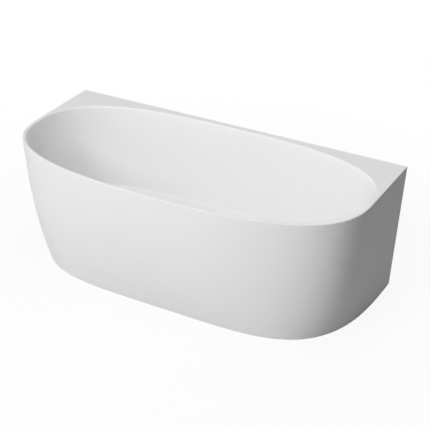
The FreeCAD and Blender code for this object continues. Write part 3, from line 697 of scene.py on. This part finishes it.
def add_light():
    """White room and soft round lamps."""
    world = bpy.data.worlds.new("white_room")
    world.use_nodes = True
    world.node_tree.nodes.clear()
    room = Tree(world.node_tree.nodes, world.node_tree.links)
    soft = room.add("ShaderNodeBackground", inputs={"Color": WHITE, "Strength": ROOM_LIGHT})
    white = room.add("ShaderNodeBackground", inputs={"Color": WHITE, "Strength": 1.0})
    sky = room.add("ShaderNodeMixShader", inputs={0: seen_directly(room), 1: soft, 2: white})
    room.add("ShaderNodeOutputWorld", inputs={"Surface": sky})
    bpy.context.scene.world = world

    for name, bearing, rise, power in LAMPS:
        lamp = bpy.data.lights.new(name, "AREA")
        lamp.energy = power
        lamp.shape = "DISK"
        lamp.size = LAMP_WIDTH
        holder = bpy.data.objects.new(name, lamp)
        way = towards(bearing, rise)
        holder.location = way * LAMP_DISTANCE + Vector((0, 0, HEIGHT / 2))
        holder.rotation_euler = (-way).to_track_quat("-Z", "Y").to_euler()
        bpy.context.scene.collection.objects.link(holder)


def add_camera():
    """Camera at the photograph's viewpoint."""
    lens = bpy.data.cameras.new("photo_camera")
    lens.sensor_width = SENSOR
    lens.lens = FOCAL_PIXELS * SENSOR / PICTURE_SIDE
    lens.shift_x = 0.5 - PRINCIPAL_X / PICTURE_SIDE
    camera = bpy.data.objects.new("photo_camera", lens)
    camera.location = CAMERA_PLACE
    camera.rotation_euler = (-towards(CAMERA_TURN, CAMERA_RISE)).to_track_quat("-Z", "Y").to_euler()
    bpy.context.scene.collection.objects.link(camera)
    bpy.context.scene.camera = camera


def rounded(profile, radius):
    """Closed (radius, height) profile with its corners off the axis rounded."""
    points = []
    for before, at, after in zip(profile[-1:] + profile[:-1], profile, profile[1:] + profile[:1]):
        corner = Vector(at)
        if corner.x == 0:
            points.append(corner)
            continue
        arms = []
        for other in (before, after):
            arm = Vector(other) - corner
            arms.append(arm.normalized() * min(radius, arm.length * ROUND_REACH))
        for i in range(ROUND_STEPS + 1):
            share = i / ROUND_STEPS
            points.append(corner + arms[0] * (1 - share) ** 2 + arms[1] * share ** 2)
    return points


def turned(name, profile, radius, place=(0.0, 0.0, 0.0)):
    """Piece turned about an upright axis, with softened corners."""
    rings = []
    for point in rounded(profile, radius):
        ring = []
        for i in range(TURN_STEPS):
            angle = 2 * math.pi * i / TURN_STEPS
            spoke = Vector((point.x * math.cos(angle), point.x * math.sin(angle), point.y))
            ring.append(spoke + Vector(place))
        rings.append(ring)
    return closed_shell(name, rings)


def plug_top():
    """Domed plug cap with its boss."""
    low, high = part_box("plug_cap")
    underside = low.z + PLUG_BOSS_HEIGHT
    rise = high.z - underside - PLUG_EDGE
    dome = []
    for i in range(DOME_STEPS + 1):
        out = 1 - i / DOME_STEPS
        dome.append((high.x * out, high.z - rise * out ** 2))
    boss = [(0.0, low.z), (PLUG_BOSS_RADIUS, low.z), (PLUG_BOSS_RADIUS, underside)]
    return turned("plug_top", boss + [(high.x, underside)] + dome, PLUG_SOFTNESS)


def foot_pad(place):
    """Spreading pad of a levelling foot."""
    low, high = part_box("foot_pad_" + place)
    middle = (low + high) / 2
    radius = high.x - middle.x
    socket_floor = low.z + PAD_SOCKET_FLOOR
    profile = [
        (0.0, low.z), (radius, low.z), (radius, low.z + PAD_EDGE_HEIGHT), (PAD_NECK_RADIUS, high.z),
        (PAD_SOCKET_RADIUS, high.z), (PAD_SOCKET_RADIUS, socket_floor), (0.0, socket_floor),
    ]
    return turned("pad_" + place, profile, PAD_SOFTNESS, (middle.x, middle.y, 0.0))


def points_piece(name, places):
    """Object that holds only points."""
    mesh = bpy.data.meshes.new(name)
    mesh.from_pydata(places, [], [])
    piece = bpy.data.objects.new(name, mesh)
    bpy.context.scene.collection.objects.link(piece)
    return piece


class Maker(Tree):
    """A geometry tree with named sizes."""

    def __init__(self, name, sizes):
        self.group = bpy.data.node_groups.new(name, "GeometryNodeTree")
        super().__init__(self.group.nodes, self.group.links)
        face = self.group.interface
        face.new_socket(name="Geometry", in_out="INPUT", socket_type="NodeSocketGeometry")
        face.new_socket(name="Finish", in_out="INPUT", socket_type="NodeSocketMaterial")
        for size, kind in sizes.items():
            face.new_socket(name=size, in_out="INPUT", socket_type=kind)
        face.new_socket(name="Geometry", in_out="OUTPUT", socket_type="NodeSocketGeometry")

    def size(self, name):
        """One of the tree's inputs."""
        return self.add("NodeGroupInput", output=name)

    def moved(self, shape, z):
        """Shape lifted by z."""
        way = self.add("ShaderNodeCombineXYZ", inputs={"Z": z})
        return self.add("GeometryNodeTransform", inputs={"Geometry": shape, "Translation": way})

    def joined(self, *shapes):
        """Several shapes as one."""
        return self.add("GeometryNodeJoinGeometry", inputs={0: list(reversed(shapes))})

    def close(self, shape):
        """Ends the tree: real faces with their finish."""
        real = self.add("GeometryNodeRealizeInstances", inputs={0: shape})
        paint = {"Geometry": real, "Material": self.size("Finish")}
        painted = self.add("GeometryNodeSetMaterial", inputs=paint)
        self.add("NodeGroupOutput", inputs={0: painted})

    def bake(self, piece, finish, **sizes):
        """Runs the tree on a piece and keeps the result as its mesh; spaces in names are underscores."""
        modifier = piece.modifiers.new("made", "NODES")
        modifier.node_group = self.group
        wanted = {key.replace("_", " "): value for key, value in sizes.items()}
        wanted["Finish"] = finish
        for item in self.group.interface.items_tree:
            if item.in_out == "INPUT" and item.name in wanted:
                modifier[item.identifier] = wanted[item.name]
        graph = bpy.context.evaluated_depsgraph_get()
        mesh = bpy.data.meshes.new_from_object(piece.evaluated_get(graph))
        piece.modifiers.clear()
        piece.data = mesh
        return piece


def threaded(maker):
    """Rod with a raised thread, standing on its seat."""
    radius, length = maker.size("Rod Radius"), maker.size("Rod Length")
    depth = maker.size("Thread Depth")
    core = maker.add("GeometryNodeMeshCylinder", inputs={
        "Vertices": ROD_SIDES, "Radius": radius - depth, "Depth": length,
    })
    core = maker.moved(core, length * 0.5)
    spiral = maker.add("GeometryNodeCurveSpiral", inputs={
        "Resolution": THREAD_STEPS, "Rotations": maker.size("Thread Turns"), "Start Radius": radius - depth,
        "End Radius": radius - depth, "Height": length - depth * 2.0,
    })
    crest = maker.add("GeometryNodeCurvePrimitiveCircle", inputs={
        "Resolution": THREAD_SIDES, "Radius": depth,
    })
    ridge = maker.add("GeometryNodeCurveToMesh", inputs={
        "Curve": spiral, "Profile Curve": crest, "Fill Caps": True,
    })
    return maker.joined(core, maker.moved(ridge, depth))


ROD_SIZES = {
    "Rod Radius": "NodeSocketFloat", "Rod Length": "NodeSocketFloat",
    "Thread Depth": "NodeSocketFloat", "Thread Turns": "NodeSocketFloat",
}
HEAD_SIZES = {
    "Head Radius": "NodeSocketFloat", "Head Crown": "NodeSocketFloat", "Head Height": "NodeSocketFloat",
    "Head Sides": "NodeSocketInt", "Drive Width": "NodeSocketFloat", "Turn": "NodeSocketRotation",
}
RIB_SIZES = {
    "Rib Count": "NodeSocketInt", "Rib Circle": "NodeSocketFloat", "Rib Radius": "NodeSocketFloat",
    "Rib Height": "NodeSocketFloat", "Rib Middle": "NodeSocketFloat",
}


def rod_maker():
    """Threaded rods on points."""
    maker = Maker("threaded_rod", ROD_SIZES)
    rods = maker.add("GeometryNodeInstanceOnPoints", inputs={
        "Points": maker.size("Geometry"), "Instance": threaded(maker),
    })
    maker.close(rods)
    return maker


def screw_maker():
    """Threaded screws and bolts with a driven head, on points."""
    maker = Maker("headed_screw", {**ROD_SIZES, **HEAD_SIZES})
    height = maker.size("Head Height")
    head = maker.add("GeometryNodeMeshCone", inputs={
        "Vertices": maker.size("Head Sides"), "Radius Top": maker.size("Head Radius"),
        "Radius Bottom": maker.size("Head Crown"), "Depth": height,
    })
    head = maker.moved(head, height * -1.0)
    width = maker.size("Drive Width")
    slots = []
    narrow = width * DRIVE_SLOT_SHARE
    for long, short in ((width, narrow), (narrow, width)):
        size = maker.add("ShaderNodeCombineXYZ", inputs={"X": long, "Y": short, "Z": height})
        slots.append(maker.moved(maker.add("GeometryNodeMeshCube", inputs={"Size": size}), height * -1.0))
    drive = maker.add("GeometryNodeMeshBoolean", {"operation": "DIFFERENCE"}, {
        "Mesh 1": head, "Mesh 2": maker.joined(*slots),
    })
    screws = maker.add("GeometryNodeInstanceOnPoints", inputs={
        "Points": maker.size("Geometry"), "Instance": maker.joined(threaded(maker), drive),
        "Rotation": maker.size("Turn"),
    })
    maker.close(screws)
    return maker


def rib_maker():
    """Grip ribs around a turned nut."""
    maker = Maker("grip_ribs", RIB_SIZES)
    ring = maker.add("GeometryNodeMeshCircle", inputs={
        "Vertices": maker.size("Rib Count"), "Radius": maker.size("Rib Circle"),
    })
    rib = maker.add("GeometryNodeMeshCylinder", inputs={
        "Vertices": RIB_SIDES, "Radius": maker.size("Rib Radius"), "Depth": maker.size("Rib Height"),
    })
    ribs = maker.add("GeometryNodeInstanceOnPoints", inputs={
        "Points": maker.moved(ring, maker.size("Rib Middle")), "Instance": rib,
    })
    maker.close(maker.joined(maker.size("Geometry"), ribs))
    return maker


FINISHES = {
    "white_shell": satin_white(),
    "board": chipboard(),
    "resin": glass_resin(),
    "frame_paint": powder_coat(),
    "zinc_steel": zinc_plate(),
    "pad_plastic": moulded("black_pad", (0.018, 0.018, 0.018), (0.035, 0.035, 0.035), 0.5),
    "chrome": bright_chrome(),
    "seal_rubber": black_rubber(),
    "brass": turned_brass(),
    "cartridge_plastic": moulded("grey_cartridge", (0.09, 0.095, 0.105), (0.14, 0.145, 0.155), 0.42),
    "trap_plastic": moulded("white_trap", (0.66, 0.66, 0.65), (0.74, 0.74, 0.73), 0.25),
}


def dress(piece, body, slot, *nodes):
    """Gives a finished piece its body and its material, and hides the nodes it stands for."""
    piece.data.materials.clear()
    piece.data.materials.append(FINISHES[slot])
    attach(piece, body)
    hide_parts(*nodes)


def add_feet():
    """Threaded studs and turned pads of the five levelling feet."""
    rods = rod_maker()
    for place in FOOT_PLACES:
        low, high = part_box("foot_stud_" + place)
        foot = ((low.x + high.x) / 2, (low.y + high.y) / 2, low.z)
        length = high.z - low.z
        stud = rods.bake(
            points_piece("stud_" + place, [foot]), FINISHES["zinc_steel"], Rod_Radius=STUD_RADIUS,
            Rod_Length=length, Thread_Depth=STUD_THREAD_DEPTH, Thread_Turns=length / STUD_PITCH,
        )
        dress(stud, "foot_" + place, "zinc_steel", "foot_stud_" + place)
        dress(foot_pad(place), "foot_" + place, "pad_plastic", "foot_pad_" + place)


def fasten(screws, name, node, places, seat, tip, kind):
    """One set of screws or bolts, from the seat under their heads to their tips."""
    length = abs(tip - seat)
    radius = kind["radius"]
    piece = screws.bake(
        points_piece(name, [(x, y, seat) for x, y in places]), FINISHES["zinc_steel"],
        Rod_Radius=radius, Rod_Length=length,
        Thread_Depth=radius * THREAD_DEPTH, Thread_Turns=length / (radius * THREAD_PITCH),
        Head_Radius=kind["head"], Head_Crown=kind["crown"], Head_Height=kind["height"],
        Head_Sides=kind["sides"], Drive_Width=kind["drive"],
        Turn=(0.0, 0.0, 0.0) if tip > seat else (math.pi, 0.0, 0.0),
    )
    dress(piece, "bath", "zinc_steel", node)


def add_fasteners():
    """Rail screws and frame bolts from below, bracket screws from above."""
    screws = screw_maker()
    members = [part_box("cross_member_" + side) for side in ("left", "middle", "right")]
    crosses = [(low.x + high.x) / 2 for low, high in members]
    rails = [(low.y + high.y) / 2 for low, high in (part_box("rail_front"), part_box("rail_rear"))]

    low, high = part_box("rail_screws")
    spots = [(side * x, y) for y in rails for side in (-1, 1) for x in RAIL_SCREW_PLACES]
    fasten(screws, "rail_screw_set", "rail_screws", spots, low.z + SCREW["height"], high.z, SCREW)
    low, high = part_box("bracket_screws")
    spots = [(x, (low.y + high.y) / 2) for x in crosses]
    fasten(screws, "bracket_screw_set", "bracket_screws", spots, high.z - SCREW["height"], low.z, SCREW)
    low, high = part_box("frame_bolts")
    spots = [(x, y) for x in crosses for y in rails]
    fasten(screws, "frame_bolt_set", "frame_bolts", spots, low.z + BOLT["height"], high.z, BOLT)


def grip_piece(ribs, name, profile, softness, count, circle, middle):
    """Turned plastic piece with grip ribs round its outside."""
    return ribs.bake(
        turned(name, profile, softness), FINISHES["trap_plastic"], Rib_Count=count, Rib_Circle=circle,
        Rib_Radius=GRIP, Rib_Height=GRIP_RIB_HEIGHT, Rib_Middle=middle,
    )


def add_waste():
    """Plug cap and the trap's three hand-turned pieces."""
    dress(plug_top(), "plug", "chrome", "plug_cap")
    ribs = rib_maker()

    low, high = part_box("inlet_nut")
    outside = high.x - GRIP
    nut = grip_piece(ribs, "inlet_grip_nut", [
        (INLET_BORE, low.z), (outside, low.z), (outside, high.z), (INLET_SOCKET, high.z),
        (INLET_SOCKET, low.z + INLET_SHOULDER), (INLET_BORE, low.z + INLET_SHOULDER),
    ], NUT_SOFTNESS, NUT_RIBS, outside, (low.z + high.z) / 2)
    dress(nut, "bath", "trap_plastic", "inlet_nut")

    low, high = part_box("trap_bowl")
    outside = high.x - GRIP
    bowl = grip_piece(ribs, "trap_grip_bowl", [
        (0.0, low.z), (outside, low.z), (outside, high.z), (BOWL_SOCKET, high.z),
        (BOWL_SOCKET, low.z + BOWL_SHOULDER), (BOWL_BORE, low.z + BOWL_SHOULDER),
        (BOWL_BORE, low.z + BOWL_FLOOR), (0.0, low.z + BOWL_FLOOR),
    ], BOWL_SOFTNESS, BOWL_RIBS, outside, (low.z + high.z) / 2 + BOWL_RIB_LIFT)
    dress(bowl, "bath", "trap_plastic", "trap_bowl")

    low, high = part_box("outlet_nut")
    outside = high.x - GRIP
    length = high.y - low.y
    nut = grip_piece(ribs, "outlet_grip_nut", [
        (OUTLET_SOCKET, 0.0), (outside, 0.0), (outside, length), (OUTLET_BORE, length),
        (OUTLET_BORE, length - OUTLET_SHOULDER), (OUTLET_SOCKET, length - OUTLET_SHOULDER),
    ], NUT_SOFTNESS, NUT_RIBS, outside, length / 2)
    lie = Matrix.Translation((0.0, low.y, (low.z + high.z) / 2)) @ Matrix.Rotation(-math.pi / 2, 4, "X")
    nut.data.transform(lie)
    dress(nut, "bath", "trap_plastic", "outlet_nut")


dress(bathing_shell(), "bath", "white_shell", "basin")
dress(skirt_shell(), "bath", "white_shell", "outer_skirt")
add_feet()
add_fasteners()
add_waste()

for subpart in frame["record"]["subparts"]:
    node = frame["nodes"][subpart["node"]]
    node.data.materials.clear()
    node.data.materials.append(FINISHES[subpart["material_slot"]])

add_floor()
add_light()
add_camera()
bpy.context.scene.view_settings.view_transform = "Standard"
